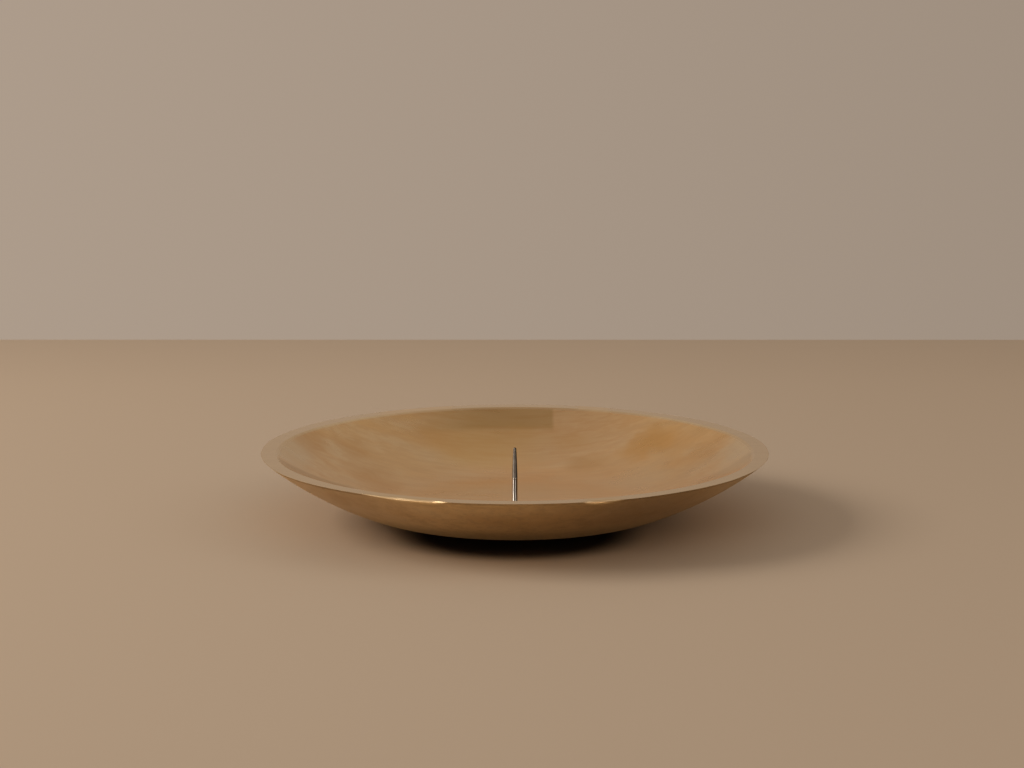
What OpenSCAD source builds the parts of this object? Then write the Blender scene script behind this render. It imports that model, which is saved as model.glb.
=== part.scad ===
// Pillar candle holder: a thick brass dish with a flat ground rim and a steel spike.
// The spike is a turned pin. Its flange sits flush in the dish's floor and its threaded
// stud is held from below by a washer and a thin nut, inside a ring of felt that the
// dish stands on. Origin: centre of the felt's lower face. Up is +Z. Millimetres.

/* [Dish] */
// Diameter over the rim
rim_d = 180; // [174:1:200]
// Height of the rim above the dish's own flat base
dish_h = 23; // [21:0.5:25]
// Width of the flat ground face on top of the rim
rim_w = 5; // [4:0.1:5.8]
// Thickness of the floor around the spike
floor_t = 4; // [3.8:0.1:5]
// Diameter of the flat underside
base_d = 72; // [70:1:80]
// Diameter of the flat floor that a candle stands on
seat_d = 76; // [72:1:80]
// Radius of the bend between the flat underside and the flared wall
knee_r = 60; // [50:1:62]
// Radius of the flared wall, seen from the side
flare_r = 133; // [130:1:160]
// Rounding of the rim's outer edge
outer_edge_r = 0.2; // [0.15:0.05:0.6]
// Rounding of the rim's inner edge
inner_edge_r = 0.5; // [0.3:0.1:1.5]

/* [Spike] */
// Height of the tip above the rim
tip_above_rim = 1.3; // [0:0.1:6]
// Diameter of the pin
pin_d = 1.9; // [1.8:0.1:2.4]
// Diameter of the blunt tip
tip_d = 1.1; // [0.8:0.1:1.6]
// Length of the tapered part, tip included
taper_l = 11; // [6:0.5:14]
// Diameter of the flange in the floor
flange_d = 5; // [4.4:0.1:6]
// Thickness of the flange
flange_t = 0.6; // [0.5:0.1:0.8]

/* [Fixing] */
// Outside diameter of the stud's thread
thread_d = 3; // [3:0.1:3.4]
// Pitch of the thread
thread_pitch = 0.5; // [0.4:0.1:0.6]
// Nut's width across its flats
nut_af = 5.5; // [5.5:0.1:6]
// Thickness of the nut
nut_t = 1.8; // [1.6:0.1:1.8]
// Diameter of the washer
washer_d = 7; // [6.6:0.1:8]
// Thickness of the washer
washer_t = 0.5; // [0.4:0.1:0.6]

/* [Felt] */
// Outside diameter of the felt ring
pad_d = 65; // [50:1:66]
// Diameter of the hole in the felt ring
pad_hole_d = 13; // [11:1:20]
// Thickness of the felt
pad_t = 1.6; // [1.5:0.1:2]
// Depth of the recess that the felt is glued into
pad_recess = 0.6; // [0.4:0.1:0.8]

/* [Hidden] */
$fn = 192;

// Clearances, all radial
pad_clear = 0.25;
flange_clear = 0.1;
stud_clear = 0.1;
thread_clear = 0.02;
washer_clear = 1.5;
// The bends are drawn this much too large, so that they cross the curves they run into
// instead of only touching them
cross = 0.002;

rim_r = rim_d / 2;
base_r = base_d / 2;
seat_r = seat_d / 2;
inner_knee_r = knee_r - floor_t;
inner_flare_r = flare_r - floor_t;

// Heights above the table
base_z = pad_t - pad_recess;
rim_z = base_z + dish_h;
floor_z = base_z + floor_t;
flange_z = floor_z - flange_t;
nut_z = 0.4;
washer_z = nut_z + nut_t;
web_z = washer_z + washer_t;
stud_end_z = 0.2;
tip_z = rim_z + tip_above_rim;
taper_z = tip_z - taper_l;

// Point at distance r from p in the direction of q
function towards(p, q, r) = p + r * (q - p) / norm(q - p);

// Where a circle of radius rp about p meets one of radius rq about q, on the axis's side
function meet(p, rp, q, rq) =
    let (d = norm(q - p),
         along = (rp * rp - rq * rq + d * d) / (2 * d),
         aside = sqrt(rp * rp - along * along),
         u = (q - p) / d)
    p + along * u + aside * [-u[1], u[0]];

// The dish's section is drawn in the XY plane, with Y for height. Each surface is a flat,
// then a bend, then a flare that leaves the bend without a corner. The outer flare ends in
// the rounded outer edge, and the inner flare in the rim's inner corner.
outer_edge = [rim_r - outer_edge_r, rim_z - outer_edge_r];
inner_corner = [rim_r - rim_w, rim_z];
outer_knee = [base_r, base_z + knee_r];
inner_knee = [seat_r, floor_z + inner_knee_r];
outer_flare = meet(outer_knee, flare_r - knee_r, outer_edge, flare_r - outer_edge_r);
inner_flare = meet(inner_knee, inner_flare_r - inner_knee_r, inner_corner, inner_flare_r);

// Centre of the inner edge's rounding, which touches the rim's flat and the inner flare
inner_edge_down = inner_flare[1] - rim_z + inner_edge_r;
inner_edge_out = sqrt(pow(inner_flare_r + inner_edge_r, 2) - pow(inner_edge_down, 2));
inner_edge = [inner_flare[0] + inner_edge_out, rim_z - inner_edge_r];

// Everything between the flat's height and the rim's that lies above a flat, bend and flare
module above_curve(flat_r, flat_z, knee, knee_r, flare, flare_r) {
    reach = 2 * flare_r;
    intersection() {
        union() {
            square([flat_r, reach]);
            translate(knee) circle(r = knee_r + cross);
            intersection() {
                translate(flare) circle(r = flare_r);
                polygon([flare, towards(flare, knee, reach), flare + [reach, 0]]);
            }
        }
        translate([0, flat_z]) square([rim_r, rim_z - flat_z]);
    }
}

// Half of the dish's cross-section, with no recess or bore
module dish_section() {
    outer_on_wall = towards(outer_flare, outer_edge, flare_r);
    inner_on_wall = towards(inner_flare, inner_edge, inner_flare_r);
    intersection() {
        difference() {
            above_curve(base_r, base_z, outer_knee, knee_r, outer_flare, flare_r);
            above_curve(seat_r, floor_z, inner_knee, inner_knee_r, inner_flare, inner_flare_r);
        }
        // Cuts both corners off the rim, for the rounded edges
        polygon([[0, 0], [rim_d, 0], outer_on_wall, [outer_edge[0], rim_z],
                 [inner_edge[0], rim_z], inner_on_wall, [0, inner_on_wall[1]]]);
    }
    translate(outer_edge) circle(r = outer_edge_r);
    translate(inner_edge) circle(r = inner_edge_r);
}

// Upright cylinder about the axis, from one height to another
module rod(r, from_z, to_z) {
    translate([0, 0, from_z]) cylinder(r = r, h = to_z - from_z);
}

module dish() {
    color("#b08a4f") difference() {
        rotate_extrude() dish_section();
        // Recess for the felt
        rod(pad_d / 2 + pad_clear, 0, base_z + pad_recess);
        // Room for the nut and washer
        rod(washer_d / 2 + washer_clear, 0, web_z);
        // Hole for the stud
        rod(thread_d / 2 + stud_clear, 0, floor_z + 1);
        // Seat for the flange
        rod(flange_d / 2 + flange_clear, flange_z, floor_z + 1);
    }
}

// Stud with ring grooves at the thread's pitch
module threaded_stud() {
    crest = thread_d / 2 - thread_clear;
    groove = thread_pitch * 0.6;
    turns = floor((flange_z - stud_end_z) / thread_pitch);
    difference() {
        rod(crest, stud_end_z, flange_z);
        for (i = [0 : turns - 1])
            translate([0, 0, stud_end_z + (i + 0.5) * thread_pitch])
                rotate_extrude()
                    polygon([[crest + 0.01, -thread_pitch * 0.4], [crest + 0.01, thread_pitch * 0.4],
                             [crest - groove, 0]]);
    }
}

module spike() {
    tip_r = tip_d / 2;
    color("#c9c7c3") union() {
        threaded_stud();
        rod(flange_d / 2, flange_z, floor_z);
        rod(pin_d / 2, floor_z, taper_z);
        translate([0, 0, taper_z])
            cylinder(r1 = pin_d / 2, r2 = tip_r, h = taper_l - tip_r);
        translate([0, 0, tip_z - tip_r]) sphere(r = tip_r);
    }
}

module washer() {
    color("#b9b7b2") difference() {
        rod(washer_d / 2, washer_z, web_z);
        rod(thread_d / 2 + stud_clear, 0, rim_z);
    }
}

module nut() {
    color("#b9b7b2") difference() {
        translate([0, 0, nut_z]) intersection() {
            cylinder(r = nut_af / 2 / cos(30), h = nut_t, $fn = 6);
            // Chamfers the corners of the lower face
            cylinder(r1 = nut_af / 2, r2 = nut_af / 2 + 2 * nut_t, h = nut_t);
        }
        rod(thread_d / 2, 0, rim_z);
    }
}

module felt_ring() {
    color("#4a4038") difference() {
        rod(pad_d / 2, 0, pad_t);
        rod(pad_hole_d / 2, -1, rim_z);
    }
}

dish();
spike();
washer();
nut();
felt_ring();
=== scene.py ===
"""Looks of the pillar candle holder: a hand-finished brass dish, a turned steel spike and felt.

Lengths are in metres and angles in degrees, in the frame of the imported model: origin at the
centre of the felt's lower face, +Z up, and the front of the object towards -Y.
"""
import math

import bpy
import numpy as np
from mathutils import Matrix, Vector, noise


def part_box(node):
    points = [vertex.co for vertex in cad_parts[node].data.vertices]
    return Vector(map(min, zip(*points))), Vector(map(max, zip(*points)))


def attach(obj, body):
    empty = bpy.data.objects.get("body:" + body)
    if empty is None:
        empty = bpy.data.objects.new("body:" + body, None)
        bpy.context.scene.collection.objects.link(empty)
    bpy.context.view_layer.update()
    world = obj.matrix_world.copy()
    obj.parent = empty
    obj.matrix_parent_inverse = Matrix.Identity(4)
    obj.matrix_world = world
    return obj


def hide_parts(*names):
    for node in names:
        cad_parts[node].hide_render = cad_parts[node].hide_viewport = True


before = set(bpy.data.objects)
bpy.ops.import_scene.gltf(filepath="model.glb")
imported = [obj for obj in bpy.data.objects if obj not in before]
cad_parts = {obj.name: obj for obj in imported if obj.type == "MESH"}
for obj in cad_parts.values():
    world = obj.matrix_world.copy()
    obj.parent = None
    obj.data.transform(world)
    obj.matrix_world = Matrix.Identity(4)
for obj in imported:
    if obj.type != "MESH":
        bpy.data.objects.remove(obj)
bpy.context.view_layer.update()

MM = 0.001

# ---------------------------------------------------------------- sizes from the frame

dish_low, dish_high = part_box("dish")
spike_low, spike_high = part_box("spike")
felt_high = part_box("felt_ring")[1]
RIM_R = dish_high.x
RIM_Z = dish_high.z
BASE_Z = dish_low.z
TIP_Z = spike_high.z
STUD_END_Z = spike_low.z
FELT_R = felt_high.x
FELT_T = felt_high.z

# The dish's own sizes, as its section is drawn in the CAD model
RIM_W = 5 * MM
FLOOR_T = 4 * MM
BASE_R = 36 * MM
SEAT_R = 38 * MM
KNEE_R = 60 * MM
FLARE_R = 133 * MM
FELT_CLEAR = 0.25 * MM
POCKET_R = 5 * MM
WEB_Z = 2.7 * MM
STUD_HOLE_R = 1.6 * MM
FLANGE_HOLE_R = 2.6 * MM
FLANGE_R = 2.5 * MM
FLANGE_T = 0.6 * MM
PIN_R = 0.95 * MM
TIP_R = 0.55 * MM
TAPER_L = 11 * MM
THREAD_R = 1.48 * MM
THREAD_DEPTH = 0.3 * MM
THREAD_PITCH = 0.5 * MM
FELT_HOLE_R = 6.5 * MM
FLOOR_Z = BASE_Z + FLOOR_T
FLANGE_Z = FLOOR_Z - FLANGE_T
TAPER_Z = TIP_Z - TAPER_L

# ---------------------------------------------------------------- sections and revolved meshes


def arc(centre, radius, start, end, count):
    """Points on an arc. Angles are in degrees from +r towards +z."""
    angles = np.radians(np.linspace(start, end, count))
    return [(centre[0] + radius * math.cos(a), centre[1] + radius * math.sin(a)) for a in angles]


def line(start, end, count):
    """Points from start to end, without either of them."""
    steps = np.linspace(0, 1, count + 2)[1:-1]
    return [(start[0] + (end[0] - start[0]) * t, start[1] + (end[1] - start[1]) * t) for t in steps]


def angle_of(centre, point):
    """Angle of point seen from centre, in degrees, from -180 to 180."""
    return math.degrees(math.atan2(point[1] - centre[1], point[0] - centre[0]))


def meet(p, rp, q, rq):
    """Where a circle of radius rp about p meets one of radius rq about q, on the axis's side."""
    d = math.dist(p, q)
    along = (rp * rp - rq * rq + d * d) / (2 * d)
    aside = math.sqrt(rp * rp - along * along)
    u = ((q[0] - p[0]) / d, (q[1] - p[1]) / d)
    return (p[0] + along * u[0] - aside * u[1], p[1] + along * u[1] + aside * u[0])


def smooth(x, low, high):
    """0 below low, 1 above high, and a smooth step between them."""
    t = np.clip((x - low) / (high - low), 0, 1)
    return t * t * (3 - 2 * t)


def bump_at(x, centre, half_width):
    """1 at centre, falling smoothly to 0 at half_width away from it."""
    return 1 - smooth(abs(x - centre), 0, half_width)


# Rounding of the rim's outer edge in the CAD model
CAD_EDGE_R = 0.2 * MM
# Centres of the section's bends and flares, as (radius, height)
OUTER_KNEE = (BASE_R, BASE_Z + KNEE_R)
INNER_KNEE = (SEAT_R, FLOOR_Z + KNEE_R - FLOOR_T)
INNER_FLARE_R = FLARE_R - FLOOR_T
OUTER_FLARE = meet(OUTER_KNEE, FLARE_R - KNEE_R,
                   (RIM_R - CAD_EDGE_R, RIM_Z - CAD_EDGE_R), FLARE_R - CAD_EDGE_R)
INNER_FLARE = meet(INNER_KNEE, FLARE_R - KNEE_R, (RIM_R - RIM_W, RIM_Z), INNER_FLARE_R)


def outer_edge_r(turn):
    """Radius of the rim's outer edge, which was broken by hand: turn is in degrees from the front,
    positive to the right. Two stretches at the front were rubbed rounder than the rest."""
    angle = math.radians(turn)
    wobble = noise.noise(Vector((math.cos(angle) * 4, math.sin(angle) * 4, 7)))
    left = smooth(turn, -36, -26) * (1 - smooth(turn, -18.5, -13))
    right = smooth(turn, 13.5, 17.5) * (1 - smooth(turn, 19.5, 24.5))
    return (0.03 + 0.01 * wobble + 0.85 * left + 0.9 * right) * MM


def inner_edge_r(turn):
    """Radius of the rim's inner edge, a little rounder on the right."""
    return (0.30 + 0.12 * bump_at(turn, 75, 60)) * MM


def dish_section(turn):
    """The dish's closed section at one turn about the axis: points, counter-clockwise seen with
    r to the right, from the flange's seat along the floor, over the rim and back underneath."""
    outer_r, inner_r = outer_edge_r(turn), inner_edge_r(turn)
    # Rounded outer edge: touches the rim's plane and lies inside the outer flare
    down = OUTER_FLARE[1] - RIM_Z + outer_r
    outer_edge = (OUTER_FLARE[0] + math.sqrt((FLARE_R - outer_r) ** 2 - down ** 2), RIM_Z - outer_r)
    down = INNER_FLARE[1] - RIM_Z + inner_r
    inner_edge = (INNER_FLARE[0] + math.sqrt((INNER_FLARE_R + inner_r) ** 2 - down ** 2),
                  RIM_Z - inner_r)
    knee_in = angle_of(INNER_FLARE, INNER_KNEE)
    knee_out = angle_of(OUTER_FLARE, OUTER_KNEE)
    wall_in = angle_of(INNER_FLARE, inner_edge)
    wall_out = angle_of(OUTER_FLARE, outer_edge)
    soft = 0.12 * MM
    points = []
    points += line((FLANGE_HOLE_R, FLOOR_Z - soft), (FLANGE_HOLE_R + soft, FLOOR_Z), 1)
    points += [(FLANGE_HOLE_R + soft, FLOOR_Z)]
    points += line((FLANGE_HOLE_R + soft, FLOOR_Z), (SEAT_R, FLOOR_Z), 22)
    points += arc(INNER_KNEE, KNEE_R - FLOOR_T, -90, knee_in, 18)
    points += arc(INNER_FLARE, INNER_FLARE_R, knee_in, wall_in, 22)[1:-1]
    points += arc(inner_edge, inner_r, wall_in + 180, 90, 9)
    points += line((inner_edge[0], RIM_Z), (outer_edge[0], RIM_Z), 5)
    points += arc(outer_edge, outer_r, 90, wall_out, 13)
    points += arc(OUTER_FLARE, FLARE_R, wall_out, knee_out, 24)[1:-1]
    points += arc(OUTER_KNEE, KNEE_R, knee_out, -90, 18)
    recess_r, recess_z = FELT_R + FELT_CLEAR, FELT_T
    points += line((BASE_R, BASE_Z), (recess_r + soft, BASE_Z), 2)
    points += [(recess_r + soft, BASE_Z), (recess_r, BASE_Z + soft), (recess_r, recess_z)]
    points += line((recess_r, recess_z), (POCKET_R, recess_z), 12)
    points += [(POCKET_R, recess_z), (POCKET_R, WEB_Z)]
    points += line((POCKET_R, WEB_Z), (STUD_HOLE_R, WEB_Z), 3)
    points += [(STUD_HOLE_R, WEB_Z), (STUD_HOLE_R, FLANGE_Z), (FLANGE_HOLE_R, FLANGE_Z)]
    points += [(FLANGE_HOLE_R, FLOOR_Z - soft)]
    return points


def revolve(name, section_at, steps, closed=True):
    """A mesh made by turning a section about Z. section_at(turn) gives the section's points at
    that turn, always as many. A section that isn't closed starts and ends on the axis."""
    turns = np.arange(steps) * 360 / steps
    rings = np.array([section_at(t if t <= 180 else t - 360) for t in turns])
    angles = np.radians(turns - 90)[:, None]
    x = rings[:, :, 0] * np.cos(angles)
    y = rings[:, :, 0] * np.sin(angles)
    verts = np.stack([x, y, rings[:, :, 1]], axis=2)
    count = verts.shape[1]
    faces = []
    for i in range(steps):
        j = (i + 1) % steps
        for k in range(count if closed else count - 1):
            n = (k + 1) % count
            faces.append((i * count + k, j * count + k, j * count + n, i * count + n))
    mesh = bpy.data.meshes.new(name)
    mesh.from_pydata(verts.reshape(-1, 3).tolist(), [], faces)
    mesh.update()
    return mesh


def new_piece(name, mesh, material):
    """A smooth-shaded object of that mesh, in the scene."""
    mesh.polygons.foreach_set("use_smooth", [True] * len(mesh.polygons))
    mesh.materials.append(material)
    piece = bpy.data.objects.new(name, mesh)
    bpy.context.scene.collection.objects.link(piece)
    return piece


def coordinates(mesh):
    """The mesh's vertices as an array."""
    co = np.zeros(len(mesh.vertices) * 3)
    mesh.vertices.foreach_get("co", co)
    return co.reshape(-1, 3)


def set_coordinates(mesh, co):
    """Puts the mesh's vertices where the array says."""
    mesh.vertices.foreach_set("co", co.ravel())
    mesh.update()


# ---------------------------------------------------------------- node helpers


class Graph:
    """Short calls for building a node tree."""

    def __init__(self, tree):
        self.tree = tree
        tree.nodes.clear()

    def node(self, kind, inputs=None, **settings):
        """Adds a node. inputs sets or links its sockets by name or number."""
        made = self.tree.nodes.new(kind)
        for key, value in settings.items():
            setattr(made, key, value)
        for key, value in (inputs or {}).items():
            self.put(made.inputs[key], value)
        return made

    def put(self, socket, value):
        """Links an output into a socket, or sets the socket to a value."""
        if isinstance(value, bpy.types.NodeSocket):
            self.tree.links.new(value, socket)
        else:
            socket.default_value = value

    def math(self, operation, a, b=0.0):
        """A Math node's output."""
        return self.node("ShaderNodeMath", {0: a, 1: b}, operation=operation).outputs[0]

    def vector(self, operation, a, b):
        """A Vector Math node's vector."""
        return self.node("ShaderNodeVectorMath", {0: a, 1: b}, operation=operation).outputs[0]

    def length(self, vector):
        """A vector's length."""
        return self.node("ShaderNodeVectorMath", {0: vector}, operation="LENGTH").outputs[1]

    def split(self, vector):
        """A vector's three parts."""
        return self.node("ShaderNodeSeparateXYZ", {0: vector}).outputs

    def mix(self, factor, a, b, blend="MIX"):
        """A colour Mix node's output."""
        made = self.node("ShaderNodeMix", data_type="RGBA", blend_type=blend)
        self.put(made.inputs["Factor"], factor)
        self.put(made.inputs[6], a)
        self.put(made.inputs[7], b)
        return made.outputs[2]

    def blend(self, factor, a, b):
        """A value Mix node's output."""
        return self.node("ShaderNodeMix", {0: factor, 2: a, 3: b}, data_type="FLOAT").outputs[0]

    def scaled(self, vector, scale, offset=(0, 0, 0)):
        """vector times scale, plus offset."""
        inputs = {"Vector": vector, "Scale": scale, "Location": offset}
        return self.node("ShaderNodeMapping", inputs).outputs[0]

    def noise(self, vector, scale, detail=2.0, roughness=0.5, distortion=0.0):
        """A Noise texture's value."""
        inputs = {"Vector": vector, "Scale": scale, "Detail": detail,
                  "Roughness": roughness, "Distortion": distortion}
        return self.node("ShaderNodeTexNoise", inputs).outputs[0]

    def remap(self, value, low, high, to_low=0.0, to_high=1.0, eased=True):
        """value from low..high to to_low..to_high, clamped."""
        return self.node("ShaderNodeMapRange", {0: value, 1: low, 2: high, 3: to_low, 4: to_high},
                         interpolation_type="SMOOTHSTEP" if eased else "LINEAR").outputs[0]


def colour(r, g, b):
    """A linear colour for a socket."""
    return (r, g, b, 1.0)


def new_material(name):
    """A node material, its graph and the shader that its surface has."""
    material = bpy.data.materials.new(name)
    material.use_nodes = True
    graph = Graph(material.node_tree)
    shader = graph.node("ShaderNodeBsdfPrincipled")
    output = graph.node("ShaderNodeOutputMaterial")
    graph.put(output.inputs["Surface"], shader.outputs[0])
    return material, graph, shader


# ---------------------------------------------------------------- materials


def stain_and_shadow_patch(g, place, centre, size, edge):
    """1 inside an upright elliptical column, 0 outside. centre and size are in millimetres, size
    is half the width and depth, and edge is how soft its border is."""
    local = g.node("ShaderNodeMapping", {
        "Vector": place, "Location": (centre[0] * MM, centre[1] * MM, 0),
        "Scale": (size[0] * MM, size[1] * MM, 1),
    }, vector_type="TEXTURE").outputs[0]
    return g.remap(g.length(local), 1 + edge, 1 - edge)


def any_of(g, masks):
    """The strongest of some masks."""
    result = masks[0]
    for mask in masks[1:]:
        result = g.math("MAXIMUM", result, mask)
    return result


def all_of(g, masks):
    """The product of some masks."""
    result = masks[0]
    for mask in masks[1:]:
        result = g.math("MULTIPLY", result, mask)
    return result


def warped(g, place, scale, reach):
    """The place, pushed about by a noise of that scale by up to about reach."""
    push = g.node("ShaderNodeTexNoise", {"Vector": place, "Scale": scale, "Detail": 3.0}).outputs[1]
    push = g.vector("SUBTRACT", push, (0.5, 0.5, 0.5))
    push = g.vector("MULTIPLY", push, (reach, reach, reach))
    return g.vector("ADD", place, push)


def off_axis(g, place):
    """Distance from the dish's axis."""
    return g.length(g.vector("MULTIPLY", place, (1, 1, 0)))


DULL_BRASS = colour(0.20, 0.12, 0.05)

# Stains on the inside: the centre, then half the width and depth, in millimetres from the axis
FAINT_STAINS = [((62, 46), (9, 8)), ((68, 32), (6, 5)), ((58, 33), (8, 4)), ((-31, 66), (10, 6)),
                ((23, 67), (10, 5))]
BROWN_STAINS = [((28, 51), (8, 5)), ((-50, 26), (7, 11)), ((-59, 43), (7, 6)), ((-76, 30), (6, 9))]
WORN_SIDES = [((-81, 9), (8, 22)), ((81, 5), (9, 22))]


def inner_stains_and_painted_shade(g, place):
    """Tarnish on the inside, and painted shade. Returns masks for strong and faint orange, brown,
    gold, the dark band at the back, which is a painted dark reflection, where the tarnish has worn
    off, and the dim crescents inside the rim, which are painted shade."""
    bent = warped(g, place, 55.0, 20 * MM)
    strong = stain_and_shadow_patch(g, bent, (51, 53), (9, 6), 0.7)
    faint = any_of(g, [stain_and_shadow_patch(g, bent, centre, size, 0.8) for centre, size in FAINT_STAINS])
    weak_brown = g.math("MULTIPLY", stain_and_shadow_patch(g, bent, (64, 15), (11, 15), 0.7), 0.45)
    brown = any_of(g, [stain_and_shadow_patch(g, bent, centre, size, 0.8) for centre, size in BROWN_STAINS]
                   + [weak_brown])
    gold = stain_and_shadow_patch(g, bent, (-12, 66), (18, 12), 0.7)
    across, deep, _ = g.split(place)
    # Painted dark reflection: a band high on the back of the inside
    dark_reflection_band = all_of(g, [
        g.remap(across, -40 * MM, -10 * MM),
        g.remap(across, 15.2 * MM, 13.6 * MM),
        g.remap(off_axis(g, place), 73.5 * MM, 77.5 * MM),
        g.remap(deep, 0, 10 * MM),
    ])
    worn_middle = g.math("MULTIPLY", stain_and_shadow_patch(g, bent, (10, 24), (40, 17), 0.6), 0.9)
    worn = any_of(g, [stain_and_shadow_patch(g, bent, centre, size, 0.5) for centre, size in WORN_SIDES]
                  + [worn_middle])
    # Painted shade: dim crescents just inside the rim on the left, and fainter ones on the right
    slant = g.math("SUBTRACT", deep, g.math("MULTIPLY", across, 0.75))
    left = g.math("MULTIPLY", g.remap(across, -54 * MM, -61 * MM), g.remap(slant, 55 * MM, 51 * MM))
    right = g.math("MULTIPLY", g.remap(across, 56 * MM, 63 * MM), g.remap(deep, 6 * MM, -2 * MM))
    shade_crescents = g.math("MAXIMUM", left, g.math("MULTIPLY", right, 0.75))
    return strong, faint, brown, gold, dark_reflection_band, worn, shade_crescents


def inner_colour(g, place, cloud, wisp, stroke):
    """Warmly tarnished brass, sanded across in straight strokes."""
    across, _, height = g.split(place)
    pale = colour(0.93, 0.71, 0.44)
    golden = colour(0.92, 0.62, 0.31)
    tan = colour(0.80, 0.52, 0.26)
    sunk = g.remap(height, RIM_Z - 3 * MM, FLOOR_Z + 4 * MM)
    inner = g.mix(g.remap(cloud, 0.40, 0.62), pale, golden)
    inner = g.mix(g.remap(wisp, 0.50, 0.72, 0.0, 0.45), inner, tan)
    inner = g.mix(g.remap(stroke, 0.40, 0.62, 0.0, 0.40), inner, tan)
    inner = g.mix(g.math("MULTIPLY", sunk, 0.25), inner, colour(0.92, 0.74, 0.50))
    ruddy = g.math("MULTIPLY", g.remap(across, -35 * MM, 0), g.remap(across, 64 * MM, 34 * MM))
    inner = g.mix(ruddy, inner, colour(1.06, 1.01, 0.98), "MULTIPLY")
    strong, faint, brown, gold, dark_reflection_band, worn, shade_crescents = inner_stains_and_painted_shade(g, place)
    # The last two tones are painted: a dark reflection band and shade crescents
    for mask, strength, tone in (
        (worn, 0.70, colour(0.89, 0.73, 0.50)),
        (gold, 0.55, colour(0.93, 0.62, 0.25)),
        (faint, 0.40, colour(0.86, 0.51, 0.20)),
        (strong, 0.62, colour(0.86, 0.48, 0.15)),
        (brown, 0.50, colour(0.76, 0.46, 0.20)),
        (dark_reflection_band, 0.50, colour(0.58, 0.40, 0.16)),
        (shade_crescents, 0.50, colour(0.58, 0.42, 0.25)),
    ):
        inner = g.mix(g.math("MULTIPLY", mask, strength), inner, tone)
    return inner


def outer_colour(g, place, cloud, blots, low, under_rim_line):
    """Mottled brass, painted brighter low down, and painted darker right at the foot and to both
    sides of the front. low is 1 at the foot and fades to 0 halfway up, and the last mask marks a
    thin line just under the rim."""
    across, _, height = g.split(place)
    grain = g.noise(g.scaled(place, (380, 380, 380)), 1.0, 2.0, 0.6)
    outer = g.mix(g.remap(cloud, 0.38, 0.62), colour(0.98, 0.76, 0.44), colour(0.93, 0.68, 0.35))
    # Painted light: the outside is painted brighter low down, with fewer blots there
    outer = g.mix(low, outer, colour(1.0, 0.80, 0.46))
    blotted = g.math("MULTIPLY", g.remap(blots, 0.46, 0.66), g.remap(low, 0, 1, 0.38, 0.14))
    outer = g.mix(blotted, outer, colour(0.58, 0.39, 0.18))
    outer = g.mix(g.remap(grain, 0.50, 0.62, 0.0, 0.18), outer, colour(0.60, 0.42, 0.22))
    # Painted shade: the outside is darker to both sides of the front, less so near the foot
    aside = g.math("ABSOLUTE", g.math("ADD", across, 6 * MM))
    painted_shade = all_of(g, [g.remap(aside, 10 * MM, 54 * MM), g.remap(aside, 86 * MM, 58 * MM, 0.35, 1),
                      g.remap(low, 0, 1, 0.62, 0.20)])
    outer = g.mix(painted_shade, outer, colour(0.46, 0.30, 0.15))
    # Painted shade: darker towards the foot
    foot = g.remap(height, 12 * MM, 6 * MM, 0.0, 0.42)
    outer = g.mix(foot, outer, colour(0.28, 0.18, 0.08))
    return g.mix(g.math("MULTIPLY", under_rim_line, 0.35), outer, DULL_BRASS)


def rim_colour(g, place, stroke, edge):
    """Bright ground brass, darkened as painted shade where edge is 1."""
    _, deep, _ = g.split(place)
    # Painted light: the ground face is painted brighter towards the back
    front, back = colour(0.92, 0.72, 0.46), colour(0.99, 0.79, 0.53)
    bright = g.mix(g.remap(deep, 10 * MM, 80 * MM), front, back)
    bright = g.mix(g.remap(stroke, 0.35, 0.70, 0.0, 0.25), bright, colour(0.76, 0.59, 0.38))
    return g.mix(g.math("MULTIPLY", edge, 0.6), bright, DULL_BRASS)


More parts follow.
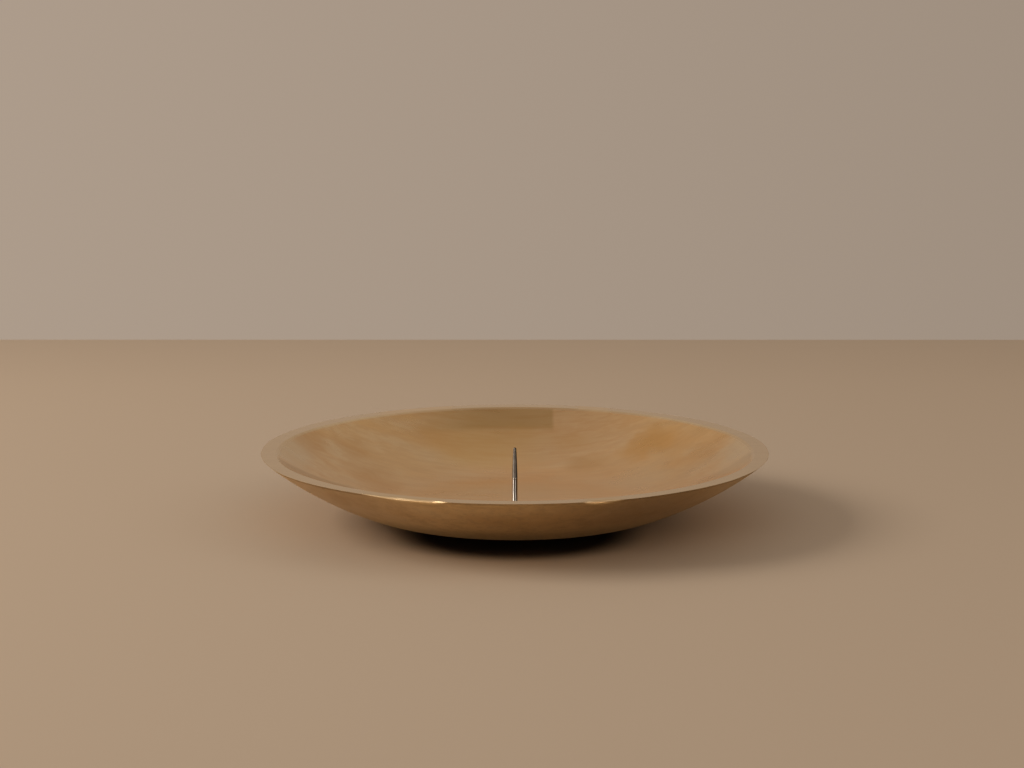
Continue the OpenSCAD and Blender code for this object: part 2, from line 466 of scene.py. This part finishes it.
def brass_material():
    """Satin brass: the inside sanded and tarnished, the rim ground bright, the outside mottled."""
    material, g, shader = new_material("satin_brass")
    source = g.node("ShaderNodeTexCoord")
    place = source.outputs["Object"]
    across, _, height = g.split(place)
    facing = g.split(source.outputs["Normal"])[2]

    # Where each finish is
    inside = g.remap(facing, -0.05, 0.15)
    rim = g.math("MULTIPLY", g.remap(height, RIM_Z - 0.9 * MM, RIM_Z - 0.15 * MM), inside)
    low = g.remap(height, 15 * MM, 3 * MM)
    # Two stretches of the outer edge were rubbed round by hand
    rubbed_left = g.math("MULTIPLY", g.remap(across, -54 * MM, -48 * MM),
                         g.remap(across, -22 * MM, -25 * MM))
    rubbed_right = g.math("MULTIPLY", g.remap(across, 22 * MM, 25 * MM),
                          g.remap(across, 38 * MM, 34 * MM))
    rubbed = any_of(g, [rubbed_left, rubbed_right])
    unrubbed = g.math("SUBTRACT", 1, rubbed)
    # A thin darker, rougher line just under the rim, and the rim's outer edge, darkened as painted
    # shade away from the rubbed stretches
    under_rim_line = all_of(g, [g.remap(height, RIM_Z - 1.1 * MM, RIM_Z - 0.6 * MM), unrubbed,
                        g.math("SUBTRACT", 1, inside)])
    edge = all_of(g, [g.remap(facing, 0.98, 0.90), g.remap(off_axis(g, place), 86.5 * MM, 88 * MM),
                      rim, unrubbed])

    bent = warped(g, place, 26.0, 22 * MM)
    cloud = g.noise(g.scaled(bent, (11, 30, 30)), 1.0, 5.0, 0.6)
    wisp = g.noise(g.scaled(bent, (34, 130, 130), (3, 1, 2)), 1.0, 4.0, 0.6)
    stroke = g.noise(g.scaled(place, (40, 420, 420)), 1.0, 2.0, 0.6)
    blots = g.noise(g.scaled(warped(g, place, 60.0, 9 * MM), (70, 70, 150)), 1.0, 5.0, 0.62)

    inner = inner_colour(g, place, cloud, wisp, stroke)
    outer = outer_colour(g, place, cloud, blots, low, under_rim_line)
    upper = g.mix(rim, inner, rim_colour(g, place, stroke, edge))
    g.put(shader.inputs["Base Color"], g.mix(inside, outer, upper))
    shader.inputs["Metallic"].default_value = 1.0
    satin = g.remap(wisp, 0.30, 0.70, 0.27, 0.36)
    satin = g.blend(rim, satin, g.blend(edge, g.blend(rubbed, 0.20, 0.34), 0.7))
    matt = g.blend(low, g.remap(blots, 0.3, 0.7, 0.38, 0.48), 0.60)
    matt = g.blend(under_rim_line, matt, 0.7)
    g.put(shader.inputs["Roughness"], g.blend(inside, matt, satin))
    return material


def steel_material():
    """Turned stainless steel: fine rings all along, and a duller taper. Painted shade makes the
    taper darker, and painted light makes the pin lighter towards its foot.
    """
    material, g, shader = new_material("turned_steel")
    place = g.node("ShaderNodeTexCoord").outputs["Object"]
    height = g.split(place)[2]
    taper = g.remap(height, TAPER_Z - 0.3 * MM, TAPER_Z + 0.3 * MM)
    rings = g.noise(g.scaled(place, (150, 150, 9000)), 1.0, 2.0, 0.5)
    tone = g.noise(place, 300.0, 3.0, 0.6)
    pin = g.mix(g.remap(tone, 0.3, 0.7), colour(0.075, 0.068, 0.060), colour(0.10, 0.092, 0.084))
    # Painted light: the pin is painted lighter towards its foot
    foot = g.remap(height, FLOOR_Z + 5.5 * MM, FLOOR_Z + 1.5 * MM)
    pin = g.mix(foot, pin, colour(0.15, 0.14, 0.13))
    # Painted shade: the taper is painted much darker than the pin
    dark, less_dark = colour(0.018, 0.015, 0.012), colour(0.028, 0.023, 0.019)
    painted_shade = g.mix(g.remap(tone, 0.3, 0.7), dark, less_dark)
    g.put(shader.inputs["Base Color"], g.mix(taper, pin, painted_shade))
    shader.inputs["Metallic"].default_value = 1.0
    g.put(shader.inputs["Roughness"], g.blend(taper, g.remap(tone, 0.3, 0.7, 0.21, 0.24), 0.52))
    g.put(shader.inputs["Anisotropic"], g.blend(taper, 0.92, 0.0))
    shader.inputs["Anisotropic Rotation"].default_value = 0.25
    tangent = g.node("ShaderNodeTangent", direction_type="RADIAL", axis="Z")
    g.put(shader.inputs["Tangent"], tangent.outputs[0])
    bump = g.node("ShaderNodeBump", {"Strength": 0.1, "Distance": 0.00001, "Height": rings})
    g.put(shader.inputs["Normal"], bump.outputs[0])
    return material


def zinc_material():
    """Bright zinc plate on the washer and nut."""
    material, g, shader = new_material("zinc_plate")
    place = g.node("ShaderNodeTexCoord").outputs["Object"]
    spangle = g.noise(place, 700.0, 4.0, 0.6)
    zinc = g.mix(spangle, colour(0.42, 0.43, 0.44), colour(0.62, 0.62, 0.60))
    g.put(shader.inputs["Base Color"], zinc)
    shader.inputs["Metallic"].default_value = 1.0
    g.put(shader.inputs["Roughness"], g.remap(spangle, 0.3, 0.7, 0.28, 0.42))
    return material


def felt_material():
    """Dense dark wool felt."""
    material, g, shader = new_material("wool_felt")
    place = g.node("ShaderNodeTexCoord").outputs["Object"]
    fibres = g.noise(place, 2600.0, 5.0, 0.75, 1.5)
    clumps = g.noise(place, 260.0, 3.0, 0.6)
    dark, light = colour(0.016, 0.012, 0.009), colour(0.060, 0.046, 0.034)
    base = g.mix(g.remap(fibres, 0.35, 0.7), dark, light)
    base = g.mix(g.remap(clumps, 0.4, 0.7, 0.0, 0.5), base, colour(0.030, 0.023, 0.017))
    g.put(shader.inputs["Base Color"], base)
    shader.inputs["Roughness"].default_value = 0.95
    shader.inputs["Sheen Weight"].default_value = 0.25
    bump = g.node("ShaderNodeBump", {"Strength": 0.8, "Distance": 0.0001, "Height": fibres})
    g.put(shader.inputs["Normal"], bump.outputs[0])
    return material


# ---------------------------------------------------------------- pieces


def shifted(co):
    """The dish's vertices with the slight unevenness of hand work: the flared wall wanders in and
    out, and the floor up and down. The rim stays flat, as it was ground last."""
    radius = np.hypot(co[:, 0], co[:, 1])
    side = np.where(co[:, 2] > inner_height(radius) - 1 * MM, 0.0, 5.0)
    places = [(x, y, s) for (x, y, _), s in zip(co, side)]
    wave = np.array([noise.noise(Vector((x * 34, y * 34, s))) for x, y, s in places])
    small = np.array([noise.noise(Vector((x * 110, y * 110, s + 9))) for x, y, s in places])
    flare = smooth(radius, SEAT_R, RIM_R)
    move = (0.35 * wave + 0.07 * small) * MM * flare
    scale = 1 + move / np.maximum(radius, MM)
    out = co.copy()
    out[:, 0] *= scale
    out[:, 1] *= scale
    on_floor = (side == 0) * smooth(radius, 4 * MM, 12 * MM) * (1 - flare)
    out[:, 2] += (0.05 * wave + 0.015 * small) * MM * on_floor
    return out


def inner_height(radius):
    """Height of the dish's inner surface at a radius."""
    inner_knee_r = KNEE_R - FLOOR_T
    knee_rise = np.sqrt(np.maximum(inner_knee_r ** 2 - (radius - SEAT_R) ** 2, 0))
    flare_rise = np.sqrt(np.maximum(INNER_FLARE_R ** 2 - (radius - INNER_FLARE[0]) ** 2, 0))
    joint_angle = math.radians(angle_of(INNER_FLARE, INNER_KNEE))
    joint = INNER_KNEE[0] + inner_knee_r * math.cos(joint_angle)
    height = np.where(radius < joint, INNER_KNEE[1] - knee_rise, INNER_FLARE[1] - flare_rise)
    return np.where(radius < SEAT_R, FLOOR_Z, height)


def make_dish():
    """The brass dish, with its recess, pocket and bore underneath."""
    mesh = revolve("dish_shell", dish_section, 480)
    set_coordinates(mesh, shifted(coordinates(mesh)))
    dish = new_piece("dish_shell", mesh, brass_material())
    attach(dish, "root")
    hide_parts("dish")


def spike_section(turn):
    """The spike's section from the stud's end up to the tip, with a true helical thread."""
    soft = 0.08 * MM
    points = [(0, STUD_END_Z), (THREAD_R - THREAD_DEPTH, STUD_END_Z)]
    low, high = STUD_END_Z + 0.1 * MM, FLANGE_Z - 0.1 * MM
    for z in np.linspace(low, high, 80):
        phase = (z / THREAD_PITCH - turn / 360) % 1
        depth = THREAD_DEPTH * (1 - abs(2 * phase - 1))
        ends = smooth(z, low, low + THREAD_PITCH) * (1 - smooth(z, high - THREAD_PITCH, high))
        lead_in = (1 - smooth(z, low, low + 0.3 * MM)) * 0.2 * MM
        points.append((THREAD_R - depth * ends - lead_in, z))
    points += [(THREAD_R, FLANGE_Z), (FLANGE_R - soft, FLANGE_Z), (FLANGE_R, FLANGE_Z + soft)]
    points += [(FLANGE_R, FLOOR_Z - soft), (FLANGE_R - soft, FLOOR_Z)]
    points += line((FLANGE_R - soft, FLOOR_Z), (PIN_R + 2 * soft, FLOOR_Z), 3)
    points += arc((PIN_R + 2 * soft, FLOOR_Z + 2 * soft), 2 * soft, 270, 180, 6)
    points += line((PIN_R, FLOOR_Z + 2 * soft), (PIN_R, TAPER_Z), 12)
    cone_top = (TIP_R * 0.98, TIP_Z - 0.85 * TIP_R)
    # The taper is a little rounded, as a filed one is
    for t in np.linspace(0, 1, 24):
        ease = t - 0.09 * math.sin(math.pi * t)
        points.append((PIN_R + (cone_top[0] - PIN_R) * ease, TAPER_Z + (cone_top[1] - TAPER_Z) * t))
    tip = (0, TIP_Z - TIP_R)
    points += arc(tip, TIP_R, angle_of(tip, cone_top) - 4, 90, 14)[1:]
    return points


def make_spike():
    """The turned steel spike: threaded stud, flange, pin and blunt tip."""
    mesh = revolve("spike_pin", spike_section, 96, closed=False)
    spike = new_piece("spike_pin", mesh, steel_material())
    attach(spike, "root")
    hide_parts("spike")
    return spike


def felt_section(_turn):
    """The felt ring's section, the same all round: soft corners, and softer ones below."""
    soft = 0.3 * MM
    low, high = 0.0, FELT_T
    points = arc((FELT_HOLE_R + soft, low + soft), soft, 180, 270, 5)
    points += line((FELT_HOLE_R + soft, low), (FELT_R - soft, low), 40)
    points += arc((FELT_R - soft, low + soft), soft, 270, 360, 5)
    points += arc((FELT_R - soft / 2, high - soft / 2), soft / 2, 0, 90, 4)
    points += line((FELT_R - soft / 2, high), (FELT_HOLE_R + soft / 2, high), 40)
    points += arc((FELT_HOLE_R + soft / 2, high - soft / 2), soft / 2, 90, 180, 4)
    return points


def make_felt():
    """The felt ring, with a slightly ragged edge and a fibrous face."""
    mesh = revolve("felt_base", felt_section, 360)
    co = coordinates(mesh)
    radius = np.hypot(co[:, 0], co[:, 1])
    ragged = np.array([noise.noise(Vector((x * 900, y * 900, z * 900))) for x, y, z in co])
    at_rim = smooth(radius, FELT_R - MM, FELT_R)
    at_hole = 1 - smooth(radius, FELT_HOLE_R, FELT_HOLE_R + MM)
    at_edge = np.maximum(at_rim, at_hole)
    scale = 1 - at_edge * 0.06 * MM * (1 + ragged) / radius
    co[:, 0] *= scale
    co[:, 1] *= scale
    below = 1 - smooth(co[:, 2], 0.2 * MM, 0.5 * MM)
    co[:, 2] += below * 0.03 * MM * (1 + ragged)
    set_coordinates(mesh, co)
    felt = new_piece("felt_base", mesh, felt_material())
    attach(felt, "root")
    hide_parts("felt_ring")


def finish_fixings():
    """Zinc plate on the washer and the nut, which keep their CAD shape."""
    zinc = zinc_material()
    for name in ("washer", "nut"):
        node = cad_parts[name]
        node.data.materials.clear()
        node.data.materials.append(zinc)


# ---------------------------------------------------------------- studio

# Linear colours of the backdrop, the room and its ceiling
WALL_TONE = (0.402, 0.319, 0.250)
ROOM_TONE = (0.385, 0.325, 0.270)
CEILING_TONE = (0.285, 0.215, 0.155)
# Where the backdrop stands, and how high it is
WALL_Y = 0.378
WALL_H = 0.30


def stage_quad(name, material, corners):
    """A flat four-cornered piece of the stage."""
    mesh = bpy.data.meshes.new(name)
    mesh.from_pydata(corners, [], [(0, 1, 2, 3)])
    mesh.materials.append(material)
    quad = bpy.data.objects.new(name, mesh)
    bpy.context.scene.collection.objects.link(quad)
    return quad


def make_floor():
    """Plain pale floor that ends where the backdrop starts, with a painted contact shadow under the
    dish's front and a faint painted shadow in front of the dish.
    """
    material, g, shader = new_material("floor_paper")
    # Painted contact shadow: the paper is painted darkest where the dish's front almost touches it
    #     # and no light gets in. Only the camera sees this, so that the brass doesn't reflect it.
    place = g.node("ShaderNodeTexCoord").outputs["Object"]
    open_air = g.node("ShaderNodeAmbientOcclusion", {"Distance": 14 * MM}, samples=6).outputs[1]
    seen = g.node("ShaderNodeLightPath").outputs["Is Camera Ray"]
    near = stain_and_shadow_patch(g, place, (0.5, -27), (39, 42), 0.22)
    painted_contact_shadow = all_of(g, [g.remap(open_air, 0.85, 0.25), near, seen])
    # Painted shadow: a faint dark patch on the paper in front of the dish
    painted_front_shadow = g.math("MULTIPLY", stain_and_shadow_patch(g, place, (4, -62), (62, 30), 0.7), 0.12)
    paper = g.mix(painted_front_shadow, colour(0.605, 0.503, 0.398), colour(0.10, 0.07, 0.05))
    g.put(shader.inputs["Base Color"], g.mix(painted_contact_shadow, paper, colour(0.01, 0.006, 0.004)))
    shader.inputs["Roughness"].default_value = 0.75
    shader.inputs["Specular IOR Level"].default_value = 0.2
    left, right, front = -1.45, 4.0, -4.0
    stage_quad("floor", material, [(left, front, 0), (right, front, 0),
                                   (right, WALL_Y, 0), (left, WALL_Y, 0)])


def make_backdrop():
    """Low glowing backdrop that the brass reflects. The camera sees the world's even tone instead,
    so the backdrop never hides the object from behind."""
    material = bpy.data.materials.new("backdrop_paper")
    material.use_nodes = True
    g = Graph(material.node_tree)
    across = g.split(g.node("ShaderNodeTexCoord").outputs["Object"])[0]
    fade = g.remap(across, -0.4, 0.4, 1.05, 0.78, False)
    glow = g.node("ShaderNodeEmission", {"Color": colour(*WALL_TONE), "Strength": fade})
    g.node("ShaderNodeOutputMaterial", {"Surface": glow.outputs[0]})
    half = 2.0
    backdrop = stage_quad("backdrop", material, [(-half, WALL_Y, 0), (half, WALL_Y, 0),
                                                 (half, WALL_Y, WALL_H), (-half, WALL_Y, WALL_H)])
    backdrop.visible_camera = False


def softbox(name, azimuth, elevation, distance, width, height, radiance, tint=(1, 0.875, 0.745)):
    """A rectangular area light that faces the object. Azimuth 0 is the camera's side and 90 the
    right. radiance is how bright its face is."""
    a, e = math.radians(azimuth), math.radians(elevation)
    away = Vector((math.sin(a) * math.cos(e), -math.cos(a) * math.cos(e), math.sin(e)))
    data = bpy.data.lights.new(name, "AREA")
    data.shape = "RECTANGLE"
    data.size = width
    data.size_y = height
    data.energy = math.pi * width * height * radiance
    data.color = tint
    light = bpy.data.objects.new(name, data)
    light.location = away * distance
    light.rotation_mode = "QUATERNION"
    light.rotation_quaternion = away.to_track_quat("Z", "Y")
    bpy.context.scene.collection.objects.link(light)
    return light


def make_lights(spike):
    """One large warm softbox on the left, two weak fills, and a low window and a small lamp at the
    front for the glints on the rim. The room's own light comes from the world."""
    softbox("left_key", 266, 32.5, 1.6, 1.10, 0.59, 6.0)
    softbox("right_fill", 84, 35, 1.6, 0.9, 0.6, 0.5)
    softbox("front_fill", 0, 38, 1.8, 1.6, 0.5, 0.8)
    softbox("front_window", 311, 6, 1.8, 1.0, 0.16, 3.8)
    softbox("front_lamp", 37, 6, 1.8, 0.35, 0.16, 6.0)
    # Two narrow strips of light that only the spike gets
    pin_only = bpy.data.collections.new("lit_by_strips")
    pin_only.objects.link(spike)
    for light in (softbox("left_strip", 298, 17, 1.6, 0.46, 0.35, 480.0, (1, 0.96, 0.90)),
                  softbox("right_strip", 28, 14, 1.6, 0.22, 0.20, 420.0, (1, 0.96, 0.90))):
        light.light_linking.receiver_collection = pin_only


def make_world():
    """Even dim room light, with none from low down at the front, and the backdrop's tone where the
    camera looks past the floor."""
    world = bpy.data.worlds.new("room")
    world.use_nodes = True
    g = Graph(world.node_tree)
    direction = g.node("ShaderNodeTexCoord").outputs["Generated"]
    across, deep, up = g.split(direction)
    back = g.remap(deep, -0.85, -0.65)
    top = g.remap(up, 0.8, 1.0)
    room = g.mix(top, colour(*ROOM_TONE), colour(*CEILING_TONE))
    room = g.mix(back, colour(0.0, 0.0, 0.0), room)
    seen = g.node("ShaderNodeLightPath").outputs["Is Camera Ray"]
    shade = g.remap(across, -0.14, 0.14, 0.0, 1.0, False)
    wall_left = colour(*[1.04 * part for part in WALL_TONE])
    wall_right = colour(*[0.86 * part for part in WALL_TONE])
    wall = g.mix(shade, wall_left, wall_right)
    tone = g.mix(seen, room, wall)
    sky = g.node("ShaderNodeBackground", {"Color": tone, "Strength": 1.0})
    g.node("ShaderNodeOutputWorld", {"Surface": sky.outputs[0]})
    bpy.context.scene.world = world


def make_camera():
    """A long lens, looking slightly down along +Y. The rim's centre sits a little below the
    picture's centre."""
    rim_centre = Vector((0, 0, RIM_Z))
    distance = 15.2 * RIM_R
    elevation = math.radians(11.3)
    tilt = math.radians(1.0)
    turn = math.radians(0.043)
    back = Vector((0, -math.cos(elevation), math.sin(elevation)))
    data = bpy.data.cameras.new("camera")
    data.lens = 135
    data.sensor_width = 36
    camera = bpy.data.objects.new("camera", data)
    camera.location = rim_centre + back * distance
    camera.rotation_euler = (math.pi / 2 - elevation + tilt, 0, turn)
    bpy.context.scene.collection.objects.link(camera)
    bpy.context.scene.camera = camera
    bpy.context.scene.view_settings.view_transform = "Standard"


make_camera()
make_dish()
pin = make_spike()
make_felt()
finish_fixings()
make_floor()
make_backdrop()
make_lights(pin)
make_world()
